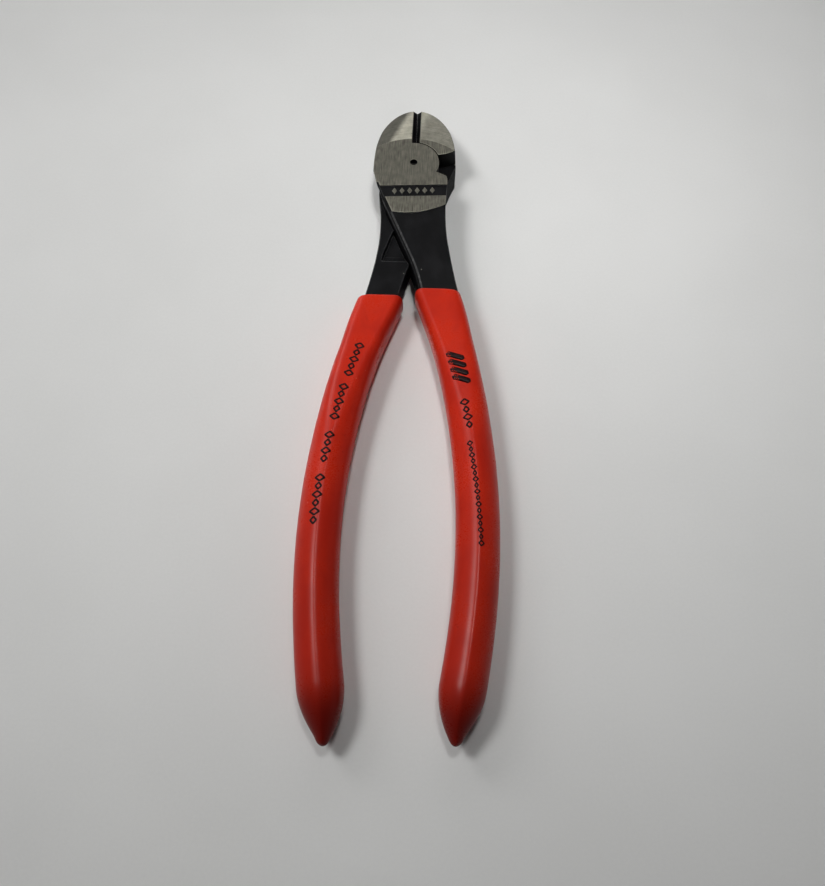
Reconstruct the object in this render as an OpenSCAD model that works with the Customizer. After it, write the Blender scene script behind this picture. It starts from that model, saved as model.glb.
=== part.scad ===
// Diagonal cutters: two forged levers that cross in a lap joint, one pivot axle, two dipped grip sleeves.
// The origin is on the pivot axis, on the flat back of the head. +Y runs to the jaw tips, +Z to the front.
// The cutters lie closed. The rear lever is the front lever turned half way round the Y axis.

/* [Head] */
// Thickness of the head over both lapped halves
head_t = 12; // [11:0.5:13]
// Widest size of the head, at half its thickness
head_w = 26.8; // [26:0.2:27.4]
// Height of the oval end of the head, from its widest point to the jaw tips
jaw_rise = 28.6; // [27:0.2:30]
// Radius of the round boss around the pivot
boss_r = 8; // [7.8:0.05:8.1]
// Width of the slot between the two jaws, at the ground faces
slot_w = 2.5; // [1.9:0.1:3]
// Slope of the ground facet on each jaw, in degrees
facet_angle = 16; // [12:1:18]

/* [Pivot] */
// Diameter of the axle
axle_d = 10; // [8:0.5:11]
// Running clearance around the axle in the rear lever, on the radius
axle_gap = 0.03; // [0.02:0.01:0.06]
// Diameter of the centre hole in the front face
centre_d = 2.4; // [1.6:0.2:3]

/* [Grips] */
// Thickness of the grips, front to back
grip_t = 12; // [11.5:0.5:13]
// Width of the grips over most of their length
grip_w = 11.7; // [11.4:0.1:12.6]
// Distance from the pivot to the end of the grips
grip_end = 174; // [170:1:178]

/* [Hidden] */
$fn = 96;

mid = head_t / 2;
over = 1;                 // how far a cutting shape runs past the surface that it cuts
far = 60;                 // more than the head's size, for cutting shapes that clear it
lap_gap = 0.05;           // between the two lapped faces
edge_gap = 0.02;          // between the two cutting edges when closed
lap_z = mid + lap_gap / 2;

// Head
oval_y = -2;              // height of the head's widest point
wall_round = 0.4;         // how much narrower the head is at its faces than at half its thickness
side_r = 64;              // radius of the head's flat sides, seen from the front
barrel_end_y = -30;       // the sides are barrel-shaped down to this height
jaw_wall_r = 8.35;        // hollow wall of the other jaw around the boss
tooth_angle = -26.6;      // top edge of the stop tooth, a line through the pivot
tooth_r = 11.3;
tooth_x = 10.75;          // outer side of the tooth
tooth_y = [-5.4, -7, -8.4]; // heights where its corner bends, where that side starts and where it ends
stop_wall = [[-5, 2.9], [-7.4, 3.3], [-10.1, 3.8], [-15, 6]];
facet_cone_y = -10.7;     // axis of the cone that the facets lie on
facet_cone_r = 20.4;      // its radius where it leaves the ground face
land_z = 1.12;            // height of each slanted land of the cutting edge

// Marking band and ground patch on the face
band_tilt = 3.2;
band_y = -11.4;
band_h = 4.35;
band_depth = 0.4;
mark_count = 6;
mark_step = 2.35;
mark_w = 1.5;
mark_h = 2.4;
mark_shift = 0.3;         // the row's middle lies this far to the right of the pivot
patch_centre = [-2.5, 5];
patch_r = 25;
arm_from_y = -12;         // the arm's face starts below this height, outside the patch
arm_drop = 0.35;          // the arm's own face lies this far below the ground face
arm_top = head_t - arm_drop;

// Arms, as outlines of the front lever
edge_straight = [-7.9, -17.9];
undercut_z = 11.2;        // below this height the corner of the lapped half slopes inwards
undercut_angle = 12;
undercut_above = 3.6;     // the slope starts this far above the start of its line
edge_cross = [-0.2, -36.4];
lip_z = 10.9;             // height of the arm's face where it enters the grip
lip_back_z = 2.3;         // height of its back there
lip_depth = 0.7;          // the arm's full section ends this far inside the grip
arm_bevel = 0.78;         // size of the bevel along the arm's long edge
rib_top_y = -14;          // the raised inner part of the arm starts here
rib_z = 3;                // and its inner face lies at this height
hollow_apex = [5.4, -24.8];
hollow_foot = [7.9, -33];
hollow_lean = 0.6;        // the hollow's outer side moves out this much over the ramp
hollow_z = 4.4;           // height of its floor
ramp_y = [-33.9, -37];
arm_gap = 0.3;            // between the crossing arms, side to side
core_w = 8.4;             // width of the steel inside a grip
core_side_z = 3;          // it starts this far in from the front and back of the head
core_rib_w = 4.2;         // width of its thicker middle
core_z = 2;               // which starts this far in
core_ends = [-0.01, 0.76]; // where it starts and ends, as shares of the grip's line
core_rib_start = 0.006;   // its thicker middle starts this far past the top of the dip, as a share

// Grips
grip_top_y = -47.2;
grip_bend = [24.1, -121.3]; // bends of the grip's line. The first lies this far out from the line's top.
grip_low_bend = [13.6, -165];
ring_points = 24;
body_rings = 22;
tip_rings = 12;
lip_steps = [0, 0.0013, 0.0036, 0.0075];
body_from = 0.02;
tip_from = 0.8;
tip_length = 14;          // length over which the grip narrows to its end
nipple_r = 1.5;
neck_extra_w = 2;         // extra width of a grip at its top end
neck_wide_run = 20;       // length over which it fades out
neck_less_t = 1.6;        // a grip is this much thinner at its top end
neck_lift = 0.6;          // and lies this much nearer the face that its lever carries
neck_run = 40;            // length over which both fade out
square_up = 25;           // length over which the grip's cross-sections turn square to its line
crest_travel = 50;        // length over which the crest moves from the inner edge to the middle
crest_out = 0.6;          // how far inwards the crest lies at the neck, as a share of half the width
roof_power = 1.8;         // roundness of the roof on both sides of the crest
neck_outer_power = 6;     // added to it at the neck, outside the crest
neck_inner_power = 0.6;   // and inside the crest
lip_run = 1.2;            // length of the round lip on a grip's top
lip_less = 0.05;          // how much narrower the grip is there, as a share
ogive_power = 0.75;       // fullness of the narrowing end

// What differs between the two forgings, as [front, rear], each seen with its own face up
FRONT = 0;
REAR = 1;
oval_x = [0.4, -0.4];                       // the oval and the cutting line lie this far off the pivot axis
edge_top = [[-12.5, -3.4], [-13.5, 0.6]];   // the long edge starts here
edge_bend = [[-11.5, -9.4], [-11, -4.2]];   // and bends here on its way to the crossing
undercut = [[[-12.9, -2.6], [-8.5, -17.3]], // the ends of a line along the undercut corner
    [[-13.5, 1], [-9.6, -10]]];
inner_bend = [[1.9, -41.4], [1.2, -41.4]];  // the long edge bends here on its way to the grip
inner_lip = [[3.2, -47.2], [2.9, -49.1]];   // and enters the grip here
waist = [[9.7, -22], [8.5, -22]];           // bends of the arm's outer side
shoulder = [[11.7, -33], [10, -33]];
outer_bend = [[12.75, -39.6], [10.7, -39.3]];
outer_lip = [[14.6, -47.2], [12.7, -49.1]];   // where the outer side enters the grip
dip_start = [0, 0.0085];                    // where the dipped grip starts, as a share of its line
grip_top_x = [8.6, 7.5];                    // the line's ends
grip_tip = [[16.2, 1 - grip_end], [15.9, -grip_end]];

// Pivot
rivet_r = axle_d / 2 + 1.5;
rivet_h = 1.5;
axle_top = head_t - 2.5;
centre_depth = 1.8;

// ---- Curves ----

// A curve from a to c that leaves and arrives along the lines to b
function bow(a, b, c, n = 8) = [for (i = [0:n]) let (t = i / n)
    a * (1 - t) * (1 - t) + 2 * b * t * (1 - t) + c * t * t];

function last(points) = points[len(points) - 1];

function flip(points) = [for (p = points) [-p[0], p[1]]];

function reversed(points) = [for (i = [len(points) - 1:-1:0]) points[i]];

function smooth(x) = let (t = min(1, max(0, x))) t * t * (3 - 2 * t);

// The long edge of the arm that crosses over the other lever
function long_edge(k) = concat(
    bow(edge_top[k], edge_bend[k], edge_straight),
    bow(edge_cross, inner_bend[k], inner_lip[k]),
    [inner_lip[k] + [0.2, -lip_depth]]);

// The arm's outer side, from the tooth down into the grip
function outer_side(k) = concat(
    bow(tooth_r * [cos(tooth_angle), sin(tooth_angle)], [tooth_x, tooth_y[0]], [tooth_x, tooth_y[1]], 4),
    bow([tooth_x, tooth_y[2]], waist[k], shoulder[k]),
    bow(shoulder[k], outer_bend[k], outer_lip[k]),
    [outer_lip[k] + [0.1, -lip_depth]]);

// ---- Head ----

// The oval end of the head, one half of it, barrel-sided
module half_oval(k) {
    intersection() {
        translate([oval_x[k], 0, 0])
            linear_extrude(head_t)
                polygon(concat([[-edge_gap / 2, oval_y]],
                    [for (a = [90:3:180]) let (y = oval_y + jaw_rise * sin(a)) if (y > edge_top[k][1])
                        [min(-edge_gap / 2, head_w / 2 * cos(a)), y]],
                    [for (p = long_edge(k)) if (p[1] > oval_y) p - [oval_x[k], 0]]));
        barrel_side(k);
    }
}

// A disc with its rim sloped to both faces, as wide as the head's left side is flat
module barrel_side(k) {
    translate([oval_x[k] + side_r + wall_round - head_w / 2, oval_y, 0])
        rotate_extrude($fn = 180)
            polygon([[0, 0], [side_r, 0], [side_r + wall_round, mid], [side_r, head_t], [0, head_t]]);
}

// The ground facets of both faces of one jaw
module facet_cut() {
    reach = 30;
    for (side = [0, 1])
        translate([0, 0, side * head_t])
            mirror([0, 0, 1 - side])
                intersection() {
                    translate([0, facet_cone_y, 0])
                        rotate_extrude($fn = 180)
                            polygon([[facet_cone_r, 0], [facet_cone_r + reach, -reach * tan(facet_angle)],
                                [facet_cone_r + reach, over], [facet_cone_r, over]]);
                    translate([-far / 2, 0, -far / 2])
                        cube(far);
                }
}

// The slot beside the cutting edge, with a slanted land on each side of the edge
module slot_cut(k) {
    slot = slot_w / 2;
    difference() {
        translate([oval_x[k], far, 0])
            rotate([90, 0, 0])
                linear_extrude(far)
                    polygon([[0, -over], [-slot, -over], [-slot, mid - land_z], [-edge_gap / 2, mid],
                        [-slot, mid + land_z], [-slot, head_t + over], [0, head_t + over]]);
        translate([0, 0, -over])
            cylinder(r = boss_r, h = head_t + 2 * over);
    }
}

// The jaw below the lapped face: hollow around the other boss, and cut off at the stop wall
module jaw_pocket_cut() {
    translate([0, 0, -over])
        cylinder(r = jaw_wall_r, h = lap_z + over);
    translate([0, 0, -over])
        linear_extrude(lap_z + over)
            polygon(concat([[0, stop_wall[0][1]]], stop_wall,
                [[last(stop_wall)[0], oval_y - over], [0, oval_y - over]]));
}

// The face's sunk band, with plain raised lozenges in a row
module band_cut(marked) {
    translate([0, band_y, head_t - band_depth])
        rotate([0, 0, band_tilt])
            difference() {
                translate([-far / 2, -band_h / 2, 0])
                    cube([far, band_h, over]);
                if (marked)
                    for (i = [0:mark_count - 1])
                        translate([(i - (mark_count - 1) / 2) * mark_step + mark_shift, 0, 0])
                            linear_extrude(band_depth)
                                polygon([[-mark_w / 2, 0], [0, -mark_h / 2],
                                    [mark_w / 2, 0], [0, mark_h / 2]]);
            }
}

// The arm's face lies a little lower, outside the round edge of the ground patch, and slopes to the grip
module arm_face_cut(k) {
    difference() {
        translate([-far / 2, -far, arm_top])
            cube([far, far + arm_from_y, over]);
        translate([patch_centre[0], patch_centre[1], arm_top - arm_drop])
            cylinder(r = patch_r, h = 2 * over, $fn = 180);
    }
    translate([-far / 2, 0, 0])
        rotate([90, 0, 90])
            linear_extrude(far)
                polygon([[edge_cross[1], arm_top], [inner_lip[k][1], lip_z], [-far, lip_z], [-far, head_t]]);
}

// Height of the arm's face
function arm_face_z(y, k) = let (share = (edge_cross[1] - y) / (edge_cross[1] - inner_lip[k][1]))
    arm_top + (lip_z - arm_top) * min(1, max(0, share));

// The bevelled part of the long edge, from above the crossing to the arm's end inside the grip
function bevel_line(k) = concat([edge_straight + (edge_straight - edge_cross) / 2],
    bow(edge_cross, inner_bend[k], inner_lip[k]),
    [inner_lip[k] + 2 * [0.2, -lip_depth]]);

// Across a line at point i, to its left, so that strips beside the line meet in mitres
function mitre(line, i) = let (a = across(line, max(i, 1)), b = across(line, min(i + 1, len(line) - 1)))
    (a + b) / (1 + a * b);
function across(line, i) = let (run = line[i] - line[i - 1]) [-run[1], run[0]] / norm(run);

// The bevel along the long edge, cut by a triangular bar that follows it
module edge_bevel(k) {
    line = bevel_line(k);
    count = len(line);
    reach = arm_bevel + over;
    section = [[reach, over], [-over, over], [-over, -reach]];
    points = [for (i = [0:count - 1], s = section)
        concat(line[i] + s[0] * mitre(line, i), arm_face_z(line[i][1], k) + s[1])];
    faces = concat([[0, 1, 2]],
        [for (i = [0:count - 2], j = [0:2]) let (a = 3 * i + j, b = 3 * i + (j + 1) % 3)
            each [[b, a, a + 3], [b, a + 3, b + 3]]],
        [[3 * count - 1, 3 * count - 2, 3 * count - 3]]);
    polyhedron(points, faces, convexity = 4);
}

// The corner below the oval slopes inwards towards the lapped face
module corner_undercut(k) {
    run = undercut[k][1] - undercut[k][0];
    translate([undercut[k][0][0], undercut[k][0][1], undercut_z])
        rotate([0, 0, atan2(run[1], run[0])])
            rotate([undercut_angle, 0, 0])
                translate([-undercut_above, -far, -head_t])
                    cube([undercut_above + norm(run), far, head_t]);
}

// ---- Lever ----

// Everything in front of the lapped face: half the head, the boss, the tooth and the arm
module front_half(k) {
    difference() {
        union() {
            translate([0, 0, lap_z])
                linear_extrude(head_t - lap_z)
                    polygon(concat([[0, 0]], outer_side(k), reversed(long_edge(k)),
                        [if (edge_top[k][1] < oval_y) [oval_x[k] - head_w / 2, oval_y]]));
            translate([0, 0, lap_z])
                cylinder(r = boss_r, h = head_t - lap_z);
        }
        difference() {
            translate([-far, barrel_end_y, -over])
                cube([far, far, head_t + 2 * over]);
            barrel_side(k);
        }
        arm_face_cut(k);
        edge_bevel(k);
    }
}

// The jaw runs through the whole thickness
module jaw(k) {
    difference() {
        half_oval(k);
        jaw_pocket_cut();
        slot_cut(k);
        facet_cut();
    }
}

// What the arm has behind the lapped face: a raised rib, a hollow, a ramp and the full arm
module arm_back(k) {
    crossing = flip(long_edge(1 - k));
    intersection() {
        difference() {
            linear_extrude(lap_z + over / 2)
                polygon([for (p = concat(outer_side(k), reversed(long_edge(k)), [[0, rib_top_y]]))
                    if (p[1] <= rib_top_y) p]);
            translate([arm_gap, 0, -over])
                linear_extrude(head_t)
                    polygon(concat([[-far, crossing[0][1]]], crossing, [[-far, last(crossing)[1]]]));
            hollow_cut();
        }
        arm_profile(k);
    }
}

// The three-sided hollow beside the rib, with a ramp up to the full arm
module hollow_cut() {
    reach = ramp_y[0] - ramp_y[1];
    intersection() {
        translate([0, 0, -over])
            linear_extrude(hollow_z + over)
                polygon([hollow_apex, hollow_foot, hollow_foot + [hollow_lean, -reach],
                    [-far, hollow_foot[1] - reach], [-far, hollow_apex[1]]]);
        translate([-far, 0, 0])
            rotate([90, 0, 90])
                linear_extrude(2 * far)
                    polygon([[0, lap_z], [ramp_y[0], lap_z], [ramp_y[0], hollow_z],
                        [ramp_y[1], rib_z], [ramp_y[1] - over, -over], [0, -over]]);
    }
}

// Side view of the arm behind the lapped face, swept across it
module arm_profile(k) {
    translate([-far, 0, 0])
        rotate([90, 0, 90])
            linear_extrude(2 * far)
                polygon([[0, rib_z], [ramp_y[1], rib_z], [inner_lip[k][1], lip_back_z], [-far, lip_back_z],
                    [-far, head_t], [0, head_t]]);
}

// The forged core inside a grip, a bar with a thicker middle
module grip_core(k) {
    core_bar(core_w, core_side_z, core_ends[0], k);
    core_bar(core_rib_w, core_z, dip_start[k] + core_rib_start, k);
}

module core_bar(width, from_face, start, k) {
    translate([0, 0, from_face])
        linear_extrude(head_t - 2 * from_face)
            polygon(concat(beside_line(-width / 2, start, k), reversed(beside_line(width / 2, start, k))));
}

module lever(k, marked) {
    difference() {
        union() {
            front_half(k);
            jaw(k);
            arm_back(k);
        }
        band_cut(marked);
        corner_undercut(k);
    }
    grip_core(k);
}

// ---- Grips ----

// The grip's centre line from its top, t = 0, to its end, t = 1: a point, and its lean from straight down
function line_at(t, k) = let (u = 1 - t)
    u * u * u * [grip_top_x[k], grip_top_y] + 3 * u * u * t * [grip_bend[0] + grip_top_x[FRONT], grip_bend[1]]
    + 3 * u * t * t * grip_low_bend + t * t * t * grip_tip[k];
function lean_at(t, k) = let (step = 0.001, d = line_at(t + step, k) - line_at(t - step, k))
    atan2(d[0], -d[1]);

// Distances from the start of the dip and from the end, along Y
function from_top(t, k) = line_at(dip_start[k], k)[1] - line_at(t, k)[1];
function from_end(t, k) = line_at(t, k)[1] - grip_tip[k][1];

// A line at a fixed distance beside the centre line, inside the grip
function beside_line(offset, start, k) = [for (t = [start:0.03:core_ends[1]]) let (lean = lean_at(t, k))
    line_at(t, k) + offset * [cos(lean), sin(lean)]];

// Size of the grip's cross-section: a round lip on top, a slimmer neck, an ogive and a nipple at the end
function lip(t, k) = 1 - lip_less * pow(max(0, 1 - from_top(t, k) / lip_run), 2);
function ogive(t, k) = pow(sin(90 * min(1, from_end(t, k) / tip_length)), ogive_power);
function nipple(t, k) = let (x = max(0, 1 - from_end(t, k) / nipple_r)) nipple_r * sqrt(max(0, 1 - x * x));
function fade(t, k, run) = 1 - smooth(from_top(t, k) / run);
function half_w(t, k) = max(nipple(t, k),
    lip(t, k) * ogive(t, k) * (grip_w + neck_extra_w * fade(t, k, neck_wide_run)) / 2);
function half_t(t, k) = max(nipple(t, k),
    lip(t, k) * ogive(t, k) * (grip_t - neck_less_t * fade(t, k, neck_run)) / 2);

// Height of the grip's surface over its middle, at x across it from -1 to 1. At the neck, n = 1, it is a
// flat face with its crest near the inner edge. Further down, n = 0, it is a soft roof with a middle crest.
function rise(x, n) = let (crest = -crest_out * n, side = x > crest ? 1 - crest : 1 + crest,
    power = roof_power + (x > crest ? neck_outer_power : neck_inner_power) * n)
    pow(max(0, 1 - pow(abs(x - crest) / side, power)), 1 / (2 + n));

function ring(t, k) = let (p = line_at(t, k), lean = lean_at(t, k) * (1 - fade(t, k, square_up)),
    z_mid = mid + neck_lift * fade(t, k, neck_run))
    [for (i = [0:ring_points - 1]) let (a = 360 * i / ring_points, x = cos(a), w = half_w(t, k) * x,
        z = i % (ring_points / 2) == 0 ? 0 : half_t(t, k) * rise(x, fade(t, k, crest_travel)) * sign(sin(a)))
        [p[0] + w * cos(lean), p[1] + w * sin(lean), z_mid + z]];

// Where the cross-sections lie along the line: close together on the lip, even on the body and on the tip
function ring_steps(k) = let (s = dip_start[k]) concat([for (t = lip_steps) s + t],
    [for (i = [0:body_rings - 1]) s + body_from + (tip_from - s - body_from) * i / (body_rings - 1)],
    [for (i = [1:tip_rings - 1]) tip_from + (1 - tip_from) * i / tip_rings]);

module grip_body(k) {
    rings = [for (t = ring_steps(k)) ring(t, k)];
    count = len(rings);
    n = ring_points;
    points = concat([for (r = rings) each r], [concat(grip_tip[k], mid)]);
    faces = concat([[for (i = [0:n - 1]) i]],
        [for (r = [0:count - 2], i = [0:n - 1]) let (a = r * n + i, b = r * n + (i + 1) % n)
            each [[a, a + n, b], [b, a + n, b + n]]],
        [for (i = [0:n - 1]) [(count - 1) * n + (i + 1) % n, (count - 1) * n + i, count * n]]);
    polyhedron(points, faces, convexity = 6);
}

module sleeve(k) {
    difference() {
        grip_body(k);
        grip_core(k);
        front_half(k);
        arm_back(k);
    }
}

// ---- Sub-parts ----

module turned() {
    translate([0, 0, head_t])
        rotate([0, 180, 0])
            children();
}

module front_lever() {
    color([0.32, 0.33, 0.34])
        difference() {
            lever(FRONT, true);
            cylinder(d = axle_d, h = axle_top);
            translate([0, 0, head_t - centre_depth])
                cylinder(d = centre_d, h = centre_depth + over);
        }
}

module rear_lever() {
    color([0.27, 0.28, 0.29])
        difference() {
            turned() lever(REAR, false);
            translate([0, 0, -over])
                cylinder(r = axle_d / 2 + axle_gap, h = head_t);
            translate([0, 0, -axle_gap])
                cylinder(r1 = rivet_r + 2 * axle_gap, r2 = axle_d / 2 + axle_gap, h = rivet_h + axle_gap);
        }
}

module pivot_axle() {
    color([0.62, 0.63, 0.64]) {
        cylinder(d = axle_d, h = axle_top);
        cylinder(r1 = rivet_r, r2 = axle_d / 2, h = rivet_h);
    }
}

module front_sleeve() {
    color([0.82, 0.16, 0.12])
        sleeve(FRONT);
}

module rear_sleeve() {
    color([0.78, 0.14, 0.11])
        turned() sleeve(REAR);
}

front_lever();
rear_lever();
pivot_axle();
front_sleeve();
rear_sleeve();
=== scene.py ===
"""A pair of diagonal cutters: forged and ground steel levers, dipped grips, a pale floor and studio light.

Lengths are in millimetres unless a name says otherwise, and become metres where they are used."""

import bisect
import itertools
import math

import bpy
from mathutils import Matrix, Vector, noise


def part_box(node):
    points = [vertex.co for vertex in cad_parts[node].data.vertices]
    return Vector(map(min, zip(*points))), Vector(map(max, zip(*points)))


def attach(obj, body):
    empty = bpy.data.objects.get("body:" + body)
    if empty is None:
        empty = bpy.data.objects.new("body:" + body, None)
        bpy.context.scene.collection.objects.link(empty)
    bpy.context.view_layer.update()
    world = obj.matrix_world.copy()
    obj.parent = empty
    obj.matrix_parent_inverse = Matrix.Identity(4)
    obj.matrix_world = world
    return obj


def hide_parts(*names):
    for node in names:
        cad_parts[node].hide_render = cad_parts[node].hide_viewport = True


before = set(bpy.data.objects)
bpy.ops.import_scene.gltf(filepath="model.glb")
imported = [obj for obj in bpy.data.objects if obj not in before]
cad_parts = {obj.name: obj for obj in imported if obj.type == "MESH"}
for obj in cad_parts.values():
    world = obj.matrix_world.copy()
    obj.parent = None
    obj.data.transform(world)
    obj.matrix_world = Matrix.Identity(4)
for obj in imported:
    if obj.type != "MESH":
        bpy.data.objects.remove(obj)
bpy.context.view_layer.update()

MM = 0.001
HEAD_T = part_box("front_lever")[1].z / MM
MID = HEAD_T / 2          # height of the plane that the two levers meet at


def new_object(name, data):
    """An object with this mesh, camera or light, in the scene."""
    made = bpy.data.objects.new(name, data)
    bpy.context.scene.collection.objects.link(made)
    return made


# ---- Node helpers ----

def new_material(name):
    """A node material with one Principled shader. Returns the material, its node tree and the shader."""
    material = bpy.data.materials.new(name)
    material.use_nodes = True
    tree = material.node_tree
    return material, tree, tree.nodes["Principled BSDF"]


def add(tree, kind, inputs=(), output=0, **settings):
    """Adds a node and returns one of its outputs. The inputs are numbers or the outputs of other nodes."""
    made = tree.nodes.new(kind if kind.startswith("GeometryNode") else "ShaderNode" + kind)
    for key, value in settings.items():
        setattr(made, key, value)
    for key, value in dict(inputs).items():
        if isinstance(value, bpy.types.NodeSocket):
            tree.links.new(value, made.inputs[key])
        else:
            made.inputs[key].default_value = value
    return made.outputs[output]


def calc(tree, operation, a, b=0.0):
    """A Math node on two numbers or outputs."""
    return add(tree, "Math", {0: a, 1: b}, operation=operation)


def both(tree, a, b):
    """The product of two masks, or of a mask and a strength."""
    return calc(tree, "MULTIPLY", a, b)


def weighted(tree, first, share, second, other_share):
    """The sum of two outputs, each by its share."""
    first, second = calc(tree, "MULTIPLY", first, share), calc(tree, "MULTIPLY", second, other_share)
    return calc(tree, "ADD", first, second)


def apart(tree, a, b):
    """The distance between two numbers or outputs."""
    return calc(tree, "ABSOLUTE", calc(tree, "SUBTRACT", a, b))


def steps(tree, value, low, high, out_low=0.0, out_high=1.0):
    """Maps low..high of a value smoothly to out_low..out_high."""
    inputs = {"Value": value, "From Min": low, "From Max": high, "To Min": out_low, "To Max": out_high}
    return add(tree, "MapRange", inputs, interpolation_type="SMOOTHSTEP")


def blend_colour(tree, share, first, second):
    """first where share is 0, second where it is 1."""
    return add(tree, "Mix", {0: share, 6: first, 7: second}, output=2, data_type="RGBA")


def blend_value(tree, share, first, second):
    """first where share is 0, second where it is 1."""
    return add(tree, "Mix", {0: share, 2: first, 3: second}, output=0, data_type="FLOAT")


def split(tree, vector):
    """The three parts of a vector."""
    parts = tree.nodes.new("ShaderNodeSeparateXYZ")
    tree.links.new(vector, parts.inputs[0])
    return parts.outputs


def millimetres(tree, position):
    return add(tree, "VectorMath", {0: position, 3: 1 / MM}, operation="SCALE")


def place(tree):
    """Where a point of the surface is, from the piece's own coordinates."""
    return millimetres(tree, add(tree, "TexCoord", output=3))


def reach(tree, x, y):
    """Distance from an axis along z, for a point x and y away from it."""
    return calc(tree, "SQRT", calc(tree, "ADD", calc(tree, "MULTIPLY", y, y), calc(tree, "MULTIPLY", x, x)))


def grain(tree, where, size, detail=2.0, roughness=0.5):
    """Noise from 0 to 1, mostly near 0.5, with features of this size, (x, y, z) or the same each way."""
    scale = [1 / s for s in (size if isinstance(size, tuple) else 3 * (size,))]
    stretched = add(tree, "VectorMath", {0: where, 1: scale}, operation="MULTIPLY")
    inputs = {"Vector": stretched, "Scale": 1.0, "Detail": detail, "Roughness": roughness}
    return add(tree, "TexNoise", inputs)


def contrast(tree, noise_value, out_low=0.0, out_high=1.0):
    """Spreads the noise's usual values over out_low..out_high."""
    return steps(tree, noise_value, 0.3, 0.7, out_low, out_high)


def specks(tree, where, spacing, radius):
    """1 in small dots, one to each cell of the spacing, and 0 elsewhere."""
    near = add(tree, "TexVoronoi", {"Vector": where, "Scale": 1 / spacing, "Randomness": 1.0})
    return calc(tree, "LESS_THAN", near, radius / spacing)


def bumps(tree, shader, height, depth, strength):
    """Fine relief, depth high."""
    normal = add(tree, "Bump", {"Height": height, "Strength": strength, "Distance": depth * MM})
    tree.links.new(normal, shader.inputs["Normal"])


def connect(tree, shader, **sockets):
    """Links outputs to the shader's colour, roughness and metallic sockets."""
    names = {"colour": "Base Color", "roughness": "Roughness", "metallic": "Metallic"}
    for key, value in sockets.items():
        tree.links.new(value, shader.inputs[names[key]])


# ---- Steel ----

GROUND_DARK = (0.092, 0.088, 0.071, 1)
GROUND_LIGHT = (0.315, 0.302, 0.248, 1)
GROUND_STAIN = (0.04, 0.036, 0.03, 1)
OXIDE_DARK = (0.0025, 0.0025, 0.003, 1)
OXIDE_LIGHT = (0.007, 0.007, 0.008, 1)
EDGE_BLACK = (0.012, 0.012, 0.013, 1)
EDGE_RUBBED = (0.1, 0.1, 0.1, 1)
AXLE_LIGHT = (0.5, 0.49, 0.45, 1)

FACE_BAND = 0.12          # the ground faces lie within this much of the head's front and back
FACET_CONE_Y = -10.7      # the jaw facets lie on a cone whose axis crosses the tool's middle line here
FACET_CONE_R = 20.3       # they begin just past this distance from the axis
FACET_FROM_Y = 1.0        # and above this line
FACET_FACING = 0.9        # they face more nearly straight up or down than this cosine

FACE_SPREAD = 0.19        # half the range of noise that takes a face from dark to light
FACET_SPREAD = 0.34       # and a facet, which looks smoother
SHEEN_Y = 14.0            # the light and dark areas of the facets' painted sheen are placed across the tool on this line
SHEEN_LEAN = 0.3          # and move left by this share of the way below it
PAINTED_SHEEN_STEPS = (           # painted sheen: where each change of brightness begins and ends, and what it adds either side
    (-7.0, -4.7, 0.6, 2.4),
    (-4.5, -2.5, 0.0, -0.2),
    (-1.0, 3.0, 0.0, -0.85),
)


def cone_reach(tree, parts):
    """Distance from the axis of the cone that the jaw facets lie on."""
    return reach(tree, parts[0], calc(tree, "SUBTRACT", parts[1], FACET_CONE_Y))


def facet_mask(tree, parts):
    """1 out beyond the edge of the facets' cone, and 0 elsewhere."""
    past_cone = calc(tree, "GREATER_THAN", cone_reach(tree, parts), FACET_CONE_R)
    return both(tree, past_cone, calc(tree, "GREATER_THAN", parts[1], FACET_FROM_Y))


def ground_mask(tree, parts):
    """1 on the ground faces and jaw facets, 0 on the black forged surfaces."""
    on_face = calc(tree, "GREATER_THAN", apart(tree, parts[2], MID), MID - FACE_BAND)
    normal_z = add(tree, "SeparateXYZ", {0: add(tree, "TexCoord", output=1)}, output=2)
    facing = calc(tree, "GREATER_THAN", calc(tree, "ABSOLUTE", normal_z), FACET_FACING)
    return calc(tree, "MAXIMUM", on_face, both(tree, facet_mask(tree, parts), facing))


def painted_facet_sheen(tree, parts):
    """Painted sheen on the facets next to the faces: dull at the left, then a painted highlight streak,
    duller again.
    """
    shift = calc(tree, "MULTIPLY", calc(tree, "SUBTRACT", SHEEN_Y, parts[1]), SHEEN_LEAN)
    slanted = calc(tree, "ADD", parts[0], shift)
    gain = 0.0
    for low, high, before, after in PAINTED_SHEEN_STEPS:
        gain = calc(tree, "ADD", gain, steps(tree, slanted, low, high, before, after))
    return gain


def ground_steel(tree, where, parts):
    """Colour, tone and scratches of ground steel: along the tool on a face, round the cone on a facet, where
    a painted sheen is added.
    """
    facet = facet_mask(tree, parts)
    along = grain(tree, where, (0.18, 5.5, 3), detail=3, roughness=0.6)
    unrolled = add(tree, "CombineXYZ", {0: parts[0], 1: cone_reach(tree, parts), 2: parts[2]})
    across = grain(tree, unrolled, (4.0, 0.12, 3), detail=3, roughness=0.6)
    scratches = blend_value(tree, facet, along, across)
    clouds = grain(tree, where, (1.6, 2.4, 3), detail=3)
    tone = weighted(tree, scratches, 0.7, clouds, 0.3)
    spread = blend_value(tree, facet, FACE_SPREAD, FACET_SPREAD)
    shade = steps(tree, tone, calc(tree, "SUBTRACT", 0.5, spread), calc(tree, "ADD", 0.5, spread))
    colour = blend_colour(tree, shade, GROUND_DARK, GROUND_LIGHT)
    stain = calc(tree, "MULTIPLY", specks(tree, where, spacing=7.5, radius=0.3), 0.5)
    colour = blend_colour(tree, stain, colour, GROUND_STAIN)
    # painted sheen: the facets' colour scaled lighter and darker across the tool
    gain = blend_value(tree, facet, 1.0, painted_facet_sheen(tree, parts))
    return add(tree, "VectorMath", {0: colour, 3: gain}, operation="SCALE"), tone, scratches


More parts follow.
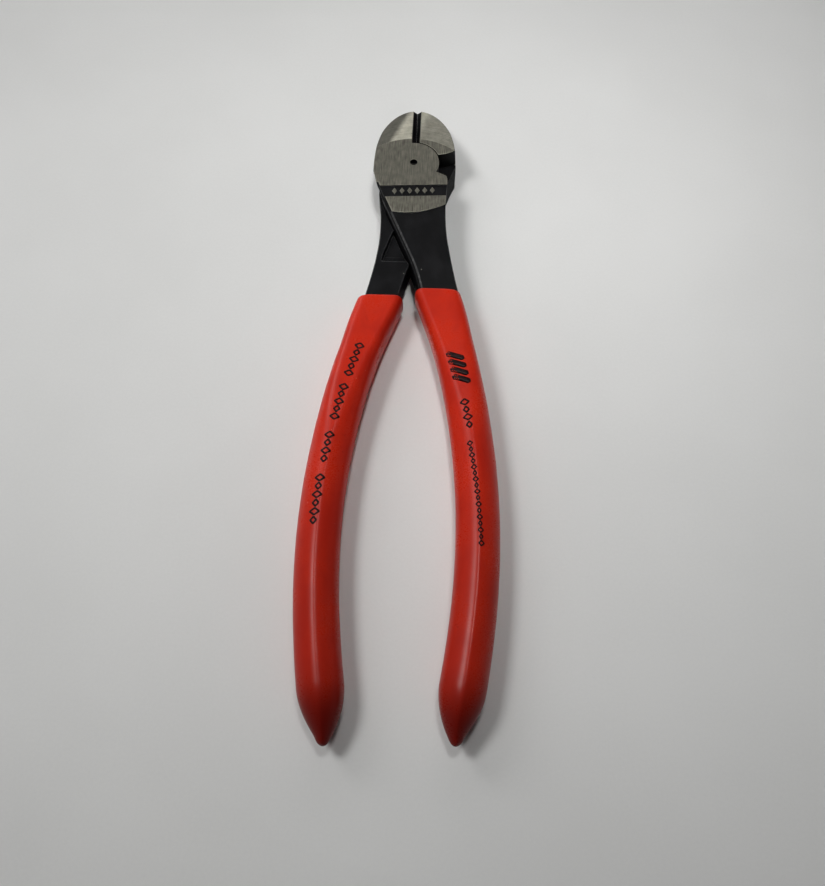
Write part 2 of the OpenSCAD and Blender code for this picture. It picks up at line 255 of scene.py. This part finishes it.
def black_oxide(tree, where):
    """Colour and relief of a forged surface under black oxide, with a few nicks down to the steel."""
    relief = grain(tree, where, 0.5, detail=4, roughness=0.65)
    patches = grain(tree, where, (5, 7, 5), detail=3)
    colour = blend_colour(tree, steps(tree, patches, 0.35, 0.7), OXIDE_DARK, OXIDE_LIGHT)
    nicks = calc(tree, "MULTIPLY", specks(tree, where, spacing=5.5, radius=0.16), 0.5)
    return blend_colour(tree, nicks, colour, GROUND_LIGHT), relief


def lever_steel(name):
    """Black oxide over a forging, ground bright on its faces and jaw facets."""
    material, tree, shader = new_material(name)
    where = place(tree)
    parts = split(tree, where)
    ground = ground_mask(tree, parts)
    bright, tone, scratches = ground_steel(tree, where, parts)
    oxide, relief = black_oxide(tree, where)
    oxide_rough = contrast(tree, relief, 0.42, 0.6)
    ground_rough = contrast(tree, tone, 0.5, 0.36)
    connect(tree, shader,
            colour=blend_colour(tree, ground, oxide, bright),
            metallic=ground,
            roughness=blend_value(tree, ground, oxide_rough, ground_rough))
    shader.inputs["Specular IOR Level"].default_value = 0.1
    bumps(tree, shader, blend_value(tree, ground, relief, scratches), depth=0.03, strength=0.5)
    return material


def worn_edge(name):
    """The rounded edges of a lever: oxide rubbed through to grey steel here and there."""
    material, tree, shader = new_material(name)
    where = place(tree)
    ground = ground_mask(tree, split(tree, where))
    rubbed = steps(tree, grain(tree, where, 1.2, detail=3, roughness=0.7), 0.5, 0.74)
    black = blend_colour(tree, rubbed, EDGE_BLACK, EDGE_RUBBED)
    connect(tree, shader,
            colour=blend_colour(tree, ground, black, GROUND_LIGHT),
            metallic=steps(tree, calc(tree, "MAXIMUM", ground, rubbed), 0.0, 1.0, 0.3, 1.0),
            roughness=steps(tree, rubbed, 0.0, 1.0, 0.45, 0.32))
    return material


def axle_steel(name):
    """A turned end, ground flush, with fine rings."""
    material, tree, shader = new_material(name)
    where = place(tree)
    x, y = split(tree, where)[:2]
    outwards = calc(tree, "MULTIPLY", reach(tree, x, y), 9.0)
    rings = add(tree, "TexNoise", {"W": outwards, "Scale": 1.0, "Detail": 2.0}, noise_dimensions="1D")
    scuffs = grain(tree, where, (0.3, 2.5, 3), detail=3)
    tone = weighted(tree, rings, 0.5, scuffs, 0.5)
    connect(tree, shader,
            colour=blend_colour(tree, contrast(tree, tone), GROUND_DARK, AXLE_LIGHT),
            roughness=contrast(tree, tone, 0.42, 0.28))
    shader.inputs["Metallic"].default_value = 1.0
    bumps(tree, shader, rings, depth=0.02, strength=0.4)
    return material


WELD = 0.002              # points closer than this are the same point, on different faces
FLAT = math.radians(0.5)  # faces that meet at less than this become one
MERGE = 0.06              # points closer than this become one, so that no rounding overruns a short edge
MERGE_FROM_Y = -47.0      # in the part of a lever that is above its grip
ARM_ROUND = 0.34          # radius of the forged edges of the arms
AXLE_ROUND = 0.05
GROUND_SHARE = 0.3        # the head's edges are this share of the arms'
FACET_SHARE = 0.14        # and so are the shallow edges between its faces and facets
SHARP = math.radians(15)  # less than the facets' slope, more than the steps of a curved wall
SHALLOW = math.radians(30)
ARM_FROM, ARM_FULL = -20.5, -24.0         # between these the rounding grows from the head's to the arms'
CUTTING_X, CUTTING_FROM_Y = 0.4, 7.0      # the cutting line lies here
CUTTING_NEAR_X, CUTTING_NEAR_Z = 0.3, 0.5     # and edges this close to it stay sharp


def edge_weights(name):
    """A modifier that removes the shortest edges of a lever, and says how round each other edge becomes: not
    at all on a smooth surface or on the cutting edge, a little on the ground head, and fully on the arm."""
    tree = bpy.data.node_groups.new(name, "GeometryNodeTree")
    for side in ("INPUT", "OUTPUT"):
        tree.interface.new_socket("Geometry", in_out=side, socket_type="NodeSocketGeometry")
    shape_in = tree.nodes.new("NodeGroupInput")
    shape_out = tree.nodes.new("NodeGroupOutput")
    angle = add(tree, "GeometryNodeInputMeshEdgeAngle")
    position = add(tree, "GeometryNodeInputPosition")
    x, y, z = split(tree, millimetres(tree, position))
    share = steps(tree, y, ARM_FULL, ARM_FROM, 1.0, GROUND_SHARE)
    share = blend_value(tree, calc(tree, "LESS_THAN", angle, SHALLOW), share, FACET_SHARE)
    near_line = calc(tree, "LESS_THAN", apart(tree, x, CUTTING_X), CUTTING_NEAR_X)
    near_mid = calc(tree, "LESS_THAN", apart(tree, z, MID), CUTTING_NEAR_Z)
    cutting = both(tree, both(tree, near_line, near_mid), calc(tree, "GREATER_THAN", y, CUTTING_FROM_Y))
    share = both(tree, share, calc(tree, "SUBTRACT", 1.0, cutting))
    share = both(tree, share, calc(tree, "GREATER_THAN", angle, SHARP))
    merge = tree.nodes.new("GeometryNodeMergeByDistance")
    merge.inputs["Distance"].default_value = MERGE * MM
    tree.links.new(shape_in.outputs[0], merge.inputs["Geometry"])
    tree.links.new(calc(tree, "GREATER_THAN", y, MERGE_FROM_Y), merge.inputs["Selection"])
    store = tree.nodes.new("GeometryNodeStoreNamedAttribute")
    store.data_type, store.domain = "FLOAT", "EDGE"
    store.inputs["Name"].default_value = "bevel_weight_edge"
    tree.links.new(merge.outputs[0], store.inputs[0])
    tree.links.new(share, store.inputs["Value"])
    tree.links.new(store.outputs[0], shape_out.inputs[0])
    return tree


def finish_steel(node, material, edge_material, radius, weights=None):
    """Gives a CAD node its materials, and rounded edges by modifiers."""
    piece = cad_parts[node]
    piece.data.materials.clear()
    piece.data.materials.append(material)
    piece.data.materials.append(edge_material)
    weld = piece.modifiers.new("Weld", "WELD")
    weld.merge_threshold = WELD * MM
    plane = piece.modifiers.new("Faces", "DECIMATE")
    plane.decimate_type = "DISSOLVE"
    plane.angle_limit = FLAT
    if weights:
        piece.modifiers.new("Weights", "NODES").node_group = weights
    edge = piece.modifiers.new("Edges", "BEVEL")
    edge.width = radius * MM
    edge.segments = 3
    edge.limit_method = "WEIGHT" if weights else "ANGLE"
    edge.use_clamp_overlap = False
    edge.miter_outer = "MITER_ARC"
    edge.material = 1
    shade = piece.modifiers.new("Shading", "WEIGHTED_NORMAL")
    shade.weight = 60


for lever in ("front_lever", "rear_lever"):
    steel, edges = lever_steel(lever + "_steel"), worn_edge(lever + "_edges")
    finish_steel(lever, steel, edges, ARM_ROUND, edge_weights(lever))
finish_steel("pivot_axle", axle_steel("pivot_axle_steel"), axle_steel("pivot_axle_edges"), AXLE_ROUND)


# ---- Grips ----

def smooth(x):
    """0 up to 0, 1 from 1, and a smooth climb between."""
    x = min(1.0, max(0.0, x))
    return x * x * (3 - 2 * x)


def softly_larger(a, b):
    """The larger of two lengths, with a smooth change from one to the other."""
    return (a ** 4 + b ** 4) ** 0.25


class Grip:
    """The dipped grip of one lever, seen with its own face up. A place along it is t, 1 at the tip."""

    top_y = -47.2
    bend = (32.7, -121.3)                     # with the next, the middle points of a Bezier curve
    low_bend = (13.6, -165.0)
    width, thick = 11.7, 12.0
    tip_length, tip_power = 14.0, 0.75        # the tip narrows over this length, this bluntly
    nipple_r = 1.5                            # and ends in a small round
    neck_extra_w, neck_wide_run = 2.0, 20.0   # how much wider the top is, and how soon that is gone
    neck_less_t, neck_lift, neck_run = 1.6, 0.6, 40.0     # how much thinner and higher, in the same way
    square_up = 25.0                          # the cross-section turns square to the grip over this length
    crest_out, crest_travel = 0.6, 50.0       # the crest starts this share of the way out, to the middle
    roof_power = 1.45                         # how full the roof is on each side of its crest
    wide_power, narrow_power = 6.35, 0.95     # and how much fuller on its wide and narrow sides at the neck
    lip_r = 0.75
    unevenness, uneven_run = 0.006, 7         # the dip's size varies by this share, over this length
    length_pieces = 400                       # distances along the grip are added up over so many pieces

    def __init__(self, top_x, start, tip_x, tip_y, turned):
        self.top_x, self.start, self.tip, self.turned = top_x, start, (tip_x, tip_y), turned
        self.start_y = self.line(start)[1]
        self.stops = [start + (1 - start) * i / self.length_pieces for i in range(self.length_pieces + 1)]
        spots = [self.line(t) for t in self.stops]
        self.runs = list(itertools.accumulate(map(math.dist, spots, spots[1:]), initial=0.0))

    def line(self, t):
        """The middle line: a Bezier curve from the arm to the tip."""
        u = 1 - t
        shares = (u * u * u, 3 * u * u * t, 3 * u * t * t, t * t * t)
        points = ((self.top_x, self.top_y), self.bend, self.low_bend, self.tip)
        return [sum(s * p[i] for s, p in zip(shares, points)) for i in range(2)]

    def lean(self, t):
        """The angle between the middle line and the tool's length."""
        a, b = self.line(t - 0.001), self.line(t + 0.001)
        return math.atan2(b[0] - a[0], a[1] - b[1])

    def from_top(self, t):
        return self.start_y - self.line(t)[1]

    def from_end(self, t):
        return self.line(t)[1] - self.tip[1]

    def fade(self, t, run):
        """1 at the top of the grip, 0 from this far below it."""
        return 1 - smooth(self.from_top(t) / run)

    def size(self, t):
        """Half the width and half the thickness."""
        end = max(0.0, self.from_end(t))
        tip = math.sin(math.pi / 2 * min(1, end / self.tip_length)) ** self.tip_power
        x = max(0.0, 1 - end / self.nipple_r)
        nipple = self.nipple_r * math.sqrt(max(0.0, 1 - x * x))
        half_w = tip * (self.width + self.neck_extra_w * self.fade(t, self.neck_wide_run)) / 2
        half_t = tip * (self.thick - self.neck_less_t * self.fade(t, self.neck_run)) / 2
        return softly_larger(nipple, half_w), softly_larger(nipple, half_t)

    def rise(self, t, x):
        """Height over the middle at x across, from 0 to 1: flat at the neck, then a soft roof."""
        n = self.fade(t, self.crest_travel)
        crest = -self.crest_out * n
        side = 1 - crest if x > crest else 1 + crest
        power = self.roof_power + (self.wide_power if x > crest else self.narrow_power) * n
        return max(0.0, 1 - (abs(x - crest) / side) ** power) ** (1 / (2 + n))

    def point(self, t, x, up, inset=0.0, lift=0.0):
        """A point on the grip, x from -1 to 1 across it. up is 1 on its face, -1 on its back, 0 between."""
        line_x, line_y = self.line(t)
        lean = self.lean(t) * (1 - self.fade(t, self.square_up))
        half_w, half_t = self.size(t)
        uneven = noise.noise(Vector((line_x, line_y, 9 * up + 3 * x)) / self.uneven_run)
        dip = 1 + self.unevenness * uneven
        across = x * max(0.0, half_w * dip - inset)
        above = up * (max(0.0, half_t * dip - inset) * self.rise(t, x) + lift)
        spot_x = line_x + across * math.cos(lean)
        spot_y = line_y + across * math.sin(lean)
        spot_z = MID + self.neck_lift * self.fade(t, self.neck_run) + above
        if self.turned:
            return Vector((-spot_x, spot_y, HEAD_T - spot_z)) * MM
        return Vector((spot_x, spot_y, spot_z)) * MM

    def step_at(self, distance):
        """The t that lies this far along the grip from its top."""
        i = min(bisect.bisect_right(self.runs, distance), self.length_pieces) - 1
        part = (distance - self.runs[i]) / (self.runs[i + 1] - self.runs[i])
        return self.stops[i] + part * (self.stops[i + 1] - self.stops[i])


REAR_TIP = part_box("rear_sleeve")[0].y / MM
front_grip = Grip(top_x=8.6, start=0.0, tip_x=16.2, tip_y=REAR_TIP + 1, turned=False)
rear_grip = Grip(top_x=7.5, start=0.0085, tip_x=15.9, tip_y=REAR_TIP, turned=True)

RING_POINTS = 120
MOUTH_INSETS = (3.0, 1.8, 1.2)    # rings inside the mouth, before the rolled lip
LIP_RINGS = 8
BODY_RINGS = 200
TIP_RINGS = 26
TIP_FROM = 0.9                    # the rings of the tip start at this t, and lie closer and closer


def smooth_mesh(name, points, faces):
    mesh = bpy.data.meshes.new(name)
    mesh.from_pydata(points, [], faces)
    mesh.validate()
    mesh.shade_smooth()
    return mesh


def tube_mesh(name, rings, cap_start, cap_end):
    """A closed mesh through rings of equal numbers of points, with one point at each end."""
    count = len(rings[0])
    points = [p for ring in rings for p in ring] + [cap_start, cap_end]
    first, final = len(points) - 2, len(points) - 1
    faces = []
    for r in range(len(rings) - 1):
        for i in range(count):
            a, b = r * count + i, r * count + (i + 1) % count
            faces.append((a, b, b + count, a + count))
    last = (len(rings) - 1) * count
    faces += [(first, (i + 1) % count, i) for i in range(count)]
    faces += [(final, last + i, last + (i + 1) % count) for i in range(count)]
    return smooth_mesh(name, points, faces)


def sleeve_ring(grip, t, inset):
    """The points of the grip's cross-section at t, this far inside its surface."""
    ring = []
    for i in range(RING_POINTS):
        angle = 2 * math.pi * i / RING_POINTS
        side = math.sin(angle)
        up = 0 if abs(side) < 1e-9 else math.copysign(1, side)
        ring.append(grip.point(t, math.cos(angle), up, inset))
    return ring


def make_sleeve(name, grip, material, body, node):
    """A grip in place of its CAD node: a mouth, a rolled lip, the body, and close rings at the tip."""
    lip_end = grip.step_at(grip.lip_r)
    rings = [sleeve_ring(grip, grip.start, inset) for inset in MOUTH_INSETS]
    for i in range(LIP_RINGS):
        angle = math.pi / 2 * i / LIP_RINGS
        t = grip.step_at(grip.lip_r * (1 - math.cos(angle))) if i else grip.start
        rings.append(sleeve_ring(grip, t, grip.lip_r * (1 - math.sin(angle))))
    for i in range(BODY_RINGS):
        rings.append(sleeve_ring(grip, lip_end + (TIP_FROM - lip_end) * i / BODY_RINGS, 0.0))
    for i in range(TIP_RINGS):
        share = math.sin(math.pi / 2 * i / TIP_RINGS)
        rings.append(sleeve_ring(grip, TIP_FROM + (1 - TIP_FROM) * share, 0.0))
    mesh = tube_mesh(name, rings, grip.point(grip.start, 0, 0), grip.point(1.0, 0, 0))
    piece = new_object(name, mesh)
    mesh.materials.append(material)
    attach(piece, body)
    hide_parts(node)


VINYL = (0.64, 0.030, 0.011, 1)
VINYL_DEEP = (0.52, 0.020, 0.008, 1)
VINYL_SMUDGE = (0.16, 0.006, 0.005, 1)
# painted shade for the lower part of the grips
VINYL_LOWER_SHADE = (0.1, 0.01, 0.007, 1)
# partly grime and partly painted shade, for the ends of the grips
VINYL_GRIME_AND_SHADE = (0.09, 0.004, 0.003, 1)
VINYL_DUST = (0.75, 0.3, 0.22, 1)
LOWER_SHADE_FROM, LOWER_SHADE_FULL = -85.0, -150.0      # painted shade: the lower part of the grips gets darker between these heights
GRIME_AND_SHADE_FROM, GRIME_AND_SHADE_FULL = -153.0, -170.0   # and grime with painted shade darkens their ends


def vinyl(name):
    """Red dipped vinyl: satin, with faint clouds, soft ripples, handling marks and dust, painted shade
    towards the lower end, and grime with painted shade at the ends.
    """
    material, tree, shader = new_material(name)
    where = place(tree)
    y = split(tree, where)[1]
    clouds = grain(tree, where, (9, 14, 9), detail=4, roughness=0.6)
    tone = blend_colour(tree, contrast(tree, clouds), VINYL, VINYL_DEEP)
    smudge = steps(tree, grain(tree, where, 3.5, detail=5, roughness=0.7), 0.62, 0.78, 0, 0.45)
    tone = blend_colour(tree, smudge, tone, VINYL_SMUDGE)
    # painted shade: the grips darker towards their lower end
    tone = blend_colour(tree, steps(tree, y, LOWER_SHADE_FROM, LOWER_SHADE_FULL, 0.0, 0.3), tone, VINYL_LOWER_SHADE)
    # grime and painted shade: the ends of the grips darker still
    grime_and_shade = calc(tree, "MULTIPLY", steps(tree, y, GRIME_AND_SHADE_FROM, GRIME_AND_SHADE_FULL), 0.8)
    tone = blend_colour(tree, grime_and_shade, tone, VINYL_GRIME_AND_SHADE)
    dust = calc(tree, "MULTIPLY", specks(tree, where, spacing=4.2, radius=0.13), 0.35)
    tone = blend_colour(tree, dust, tone, VINYL_DUST)
    fine = grain(tree, where, 0.35, detail=3)
    gloss = contrast(tree, weighted(tree, fine, 0.4, clouds, 0.6), 0.25, 0.34)
    connect(tree, shader, colour=tone, roughness=gloss)
    shader.inputs["Specular IOR Level"].default_value = 0.17
    shader.inputs["Subsurface Weight"].default_value = 0.06
    shader.inputs["Subsurface Radius"].default_value = (1.0, 0.15, 0.1)
    shader.inputs["Subsurface Scale"].default_value = 0.8 * MM
    ripple = grain(tree, where, (2.2, 5.0, 2.2), detail=2)
    bumps(tree, shader, weighted(tree, ripple, 1.0, fine, 0.06), depth=0.06, strength=0.6)
    return material


red = vinyl("dipped_vinyl")
make_sleeve("front_grip", front_grip, red, "front_half", "front_sleeve")
make_sleeve("rear_grip", rear_grip, red, "rear_half", "rear_sleeve")


# ---- Printed marks: plain strokes in place of lettering ----

INK_LIFT = 0.02           # how far the ink stands proud of the vinyl
INK = (0.009, 0.003, 0.003, 1)
INK_WORN = (0.08, 0.008, 0.006, 1)
STROKE_STEP = 0.35        # a stroke has a row of points about this often
STROKE_LEAST = 0.02       # and half this width at its very ends


def ink(name):
    """Black printing ink, worn thin in places."""
    material, tree, shader = new_material(name)
    wear = grain(tree, place(tree), 0.4, detail=4, roughness=0.7)
    connect(tree, shader,
            colour=blend_colour(tree, steps(tree, wear, 0.5, 0.75), INK, INK_WORN),
            roughness=contrast(tree, wear, 0.3, 0.45))
    shader.inputs["Specular IOR Level"].default_value = 0.12
    return material


def add_stroke(points, faces, grip, start, end, width):
    """One straight stroke with round ends. start and end: (distance along the grip, offset across it)."""
    a, b = Vector(start), Vector(end)
    length = (b - a).length
    run = (b - a).normalized()
    side = Vector((-run.y, run.x))
    up = -1 if grip.turned else 1
    stops = max(6, int(length / STROKE_STEP))
    base = len(points)
    for i in range(stops + 1):
        along = -width / 2 + (length + width) * i / stops
        past = max(0.0, -along, along - length)
        half = math.sqrt(max(0.0, (width / 2) ** 2 - past ** 2)) + STROKE_LEAST
        for across in (-1, 0, 1):
            spot = a + run * along + side * half * across
            t = grip.step_at(spot.x)
            points.append(grip.point(t, spot.y / grip.size(t)[0], up, lift=INK_LIFT))
    for i in range(stops):
        for j in (0, 1):
            c = base + 3 * i + j
            faces.append((c, c + 3, c + 4, c + 1))


def make_marks(name, grip, strokes, material, body):
    """The printed strokes of one grip as a thin layer of ink."""
    points, faces = [], []
    for start, end, width in strokes:
        add_stroke(points, faces, grip, start, end, width)
    mesh = smooth_mesh(name, points, faces)
    piece = new_object(name, mesh)
    mesh.materials.append(material)
    solid = piece.modifiers.new("Ink", "SOLIDIFY")
    solid.thickness = INK_LIFT * MM
    solid.offset = -1
    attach(piece, body)


def slanted_row(first, count, pitch, offset, drift, height, width, slant):
    """Equal slanted strokes in a row along a grip. Each is drift further across it than the last."""
    strokes = []
    for i in range(count):
        along = first + i * pitch
        middle = offset + drift * i
        strokes.append(((along - slant, middle - height / 2), (along + slant, middle + height / 2), width))
    return strokes


def lozenge(along, offset, length, height, width):
    """An open lozenge, drawn with four strokes."""
    corners = [(along - length / 2, offset), (along, offset + height / 2), (along + length / 2, offset),
               (along, offset - height / 2)]
    return [(corners[i], corners[(i + 1) % 4], width) for i in range(4)]


def lozenge_row(first, count, pitch, offset, drift, height, width):
    """Open lozenges in a row along a grip, tall and low in turn. Each is drift further across it."""
    strokes = []
    for i in range(count):
        share = 0.66 if i % 2 else 1.0
        strokes += lozenge(first + i * pitch, offset + drift * i, 0.8 * pitch, share * height, width)
    return strokes


REAR_GROUPS = ((19.0, 5), (33.0, 5), (48.0, 4), (60.5, 6))    # where each starts, and its lozenges

rear_strokes = []
for start, count in REAR_GROUPS:
    offset = -0.4 + 0.028 * (start - REAR_GROUPS[0][0])
    rear_strokes += lozenge_row(start, count, pitch=2.35, offset=offset, drift=0.06, height=2.5, width=0.48)
front_strokes = slanted_row(23.6, 4, pitch=2.5, offset=-0.9, drift=0.1, height=3.4, width=1.7, slant=0.9)
front_strokes += lozenge_row(38.4, 4, pitch=2.3, offset=-1.0, drift=0.1, height=2.3, width=0.45)
front_strokes += lozenge_row(50.8, 17, pitch=1.75, offset=-1.2, drift=0.11, height=1.35, width=0.36)
black_ink = ink("printing_ink")
make_marks("rear_grip_marks", rear_grip, rear_strokes, black_ink, "rear_half")
make_marks("front_grip_marks", front_grip, front_strokes, black_ink, "front_half")


# ---- Camera, floor and light ----

CAMERA_PLACE = Vector((6.2, -188.7, 213.0)) * MM
CAMERA_DOWN = math.radians(65.58)     # it looks this far down from level
CAMERA_TURN = math.radians(2.0)       # and is turned this much about the vertical
SENSOR, LENS = 36, 33.5622

FLOOR_REACH_M = 3.0
FLOOR_DROP_M = 0.0001     # the floor lies this far under the tool, so that no faces coincide
FLOOR_DARK = (0.78, 0.78, 0.765, 1)
FLOOR_LIGHT = (0.82, 0.82, 0.805, 1)
SKY = (0.96, 0.98, 1.0, 1)


def make_camera():
    data = bpy.data.cameras.new("camera")
    data.sensor_width = SENSOR
    data.lens = LENS
    data.clip_start, data.clip_end = 0.01, 20
    camera = new_object("camera", data)
    turn = Matrix.Rotation(CAMERA_TURN, 4, "Z") @ Matrix.Rotation(math.pi / 2 - CAMERA_DOWN, 4, "X")
    camera.matrix_world = Matrix.Translation(CAMERA_PLACE) @ turn
    bpy.context.scene.camera = camera


def make_floor():
    """A plain pale floor with a very faint grain."""
    corners = [(-1, -1), (1, -1), (1, 1), (-1, 1)]
    mesh = bpy.data.meshes.new("floor")
    mesh.from_pydata([(FLOOR_REACH_M * x, FLOOR_REACH_M * y, 0) for x, y in corners], [], [(0, 1, 2, 3)])
    floor = new_object("floor", mesh)
    floor.location.z = -FLOOR_DROP_M
    material, tree, shader = new_material("floor")
    where = place(tree)
    fine = grain(tree, where, 0.8, detail=4)
    broad = grain(tree, where, 60, detail=3)
    tone = weighted(tree, fine, 0.3, broad, 0.7)
    connect(tree, shader, colour=blend_colour(tree, contrast(tree, tone), FLOOR_DARK, FLOOR_LIGHT))
    shader.inputs["Roughness"].default_value = 0.6
    shader.inputs["Specular IOR Level"].default_value = 0.2
    mesh.materials.append(material)


def add_light(name, place_m, aim_m, size_m, watts, spread=180):
    """A rectangular light, aimed at a point. spread is the angle of its beam."""
    data = bpy.data.lights.new(name, "AREA")
    data.spread = math.radians(spread)
    data.shape = "RECTANGLE"
    data.size, data.size_y = size_m
    data.energy = watts
    light = new_object(name, data)
    light.location = place_m
    light.rotation_mode = "QUATERNION"
    light.rotation_quaternion = (Vector(aim_m) - Vector(place_m)).to_track_quat("-Z", "Y")


def make_world():
    """A plain horizon that fades out overhead."""
    world = bpy.data.worlds.new("world")
    world.use_nodes = True
    tree = world.node_tree
    background = tree.nodes["Background"]
    background.inputs["Color"].default_value = SKY
    height = add(tree, "SeparateXYZ", {0: add(tree, "TexCoord", output=0)}, output=2)
    tree.links.new(steps(tree, height, 0.2, 0.5, 0.2, 0.0), background.inputs["Strength"])
    bpy.context.scene.world = world


make_camera()
make_floor()
add_light("key", (-1.8, 1.6, 1.4), (0, -0.03, 0), size_m=(0.9, 0.9), watts=14.0)
add_light("back", (-0.2, 2.4, 1.2), (0, 0, 0), size_m=(1.9, 0.6), watts=9.8)
add_light("side", (-0.28, -0.02, 0.46), (0, -0.03, 0), size_m=(0.14, 0.14), watts=1.04)
add_light("top", (0.05, 0.03, 0.6), (0.05, 0, 0), size_m=(0.1, 0.1), watts=0.119, spread=50)
make_world()
bpy.context.scene.view_settings.view_transform = "Standard"
